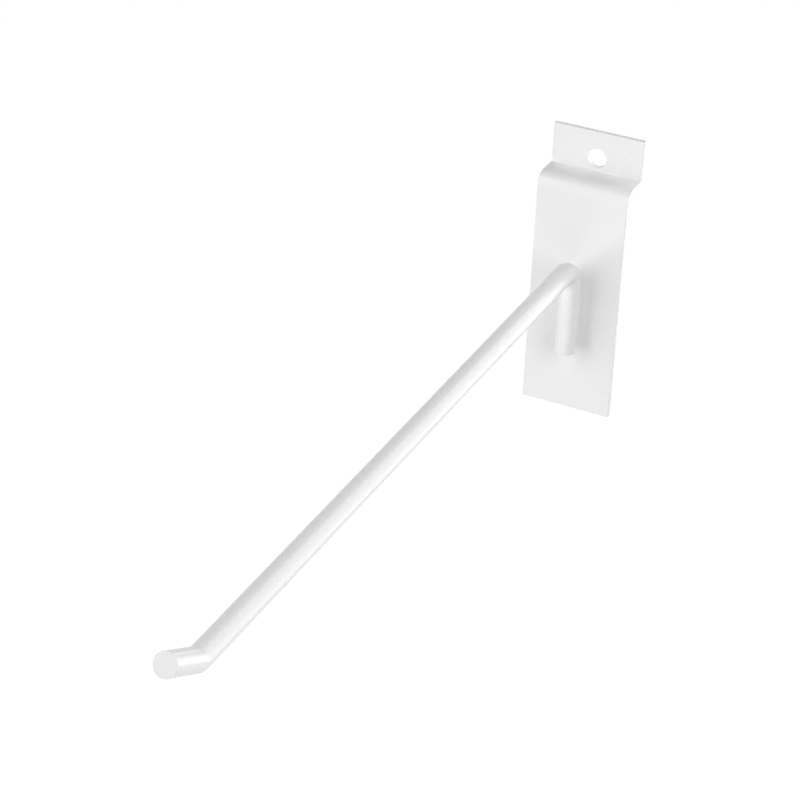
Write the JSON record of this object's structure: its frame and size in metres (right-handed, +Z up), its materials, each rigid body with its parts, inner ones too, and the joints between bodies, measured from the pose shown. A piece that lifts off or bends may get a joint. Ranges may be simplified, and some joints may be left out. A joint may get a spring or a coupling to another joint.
{
  "type": "slatwall hook",
  "caption": "Long display hook: a folded steel back plate with a tab that hooks behind a slat, and a bent round bar whose level arm ends in an upturned tip.",
  "frame": {"origin": "on the back face of the main plate, midway across its width and straight behind the arm's axis", "axes": "+Y out of the plate's back face into the wall, so the arm runs forward along -Y; +Z up along the plate; X across its width"},
  "size_m": [0.027, 0.2377, 0.083],
  "materials": {
    "powder_coat_sheet": "white powder coat, satin, fine grain",
    "powder_coat_bar": "white powder coat, satin to glossy, smooth"
  },
  "bodies": {
    "root": {"back_plate": "powder_coat_sheet", "prong": "powder_coat_bar"}
  },
  "joints": []
}
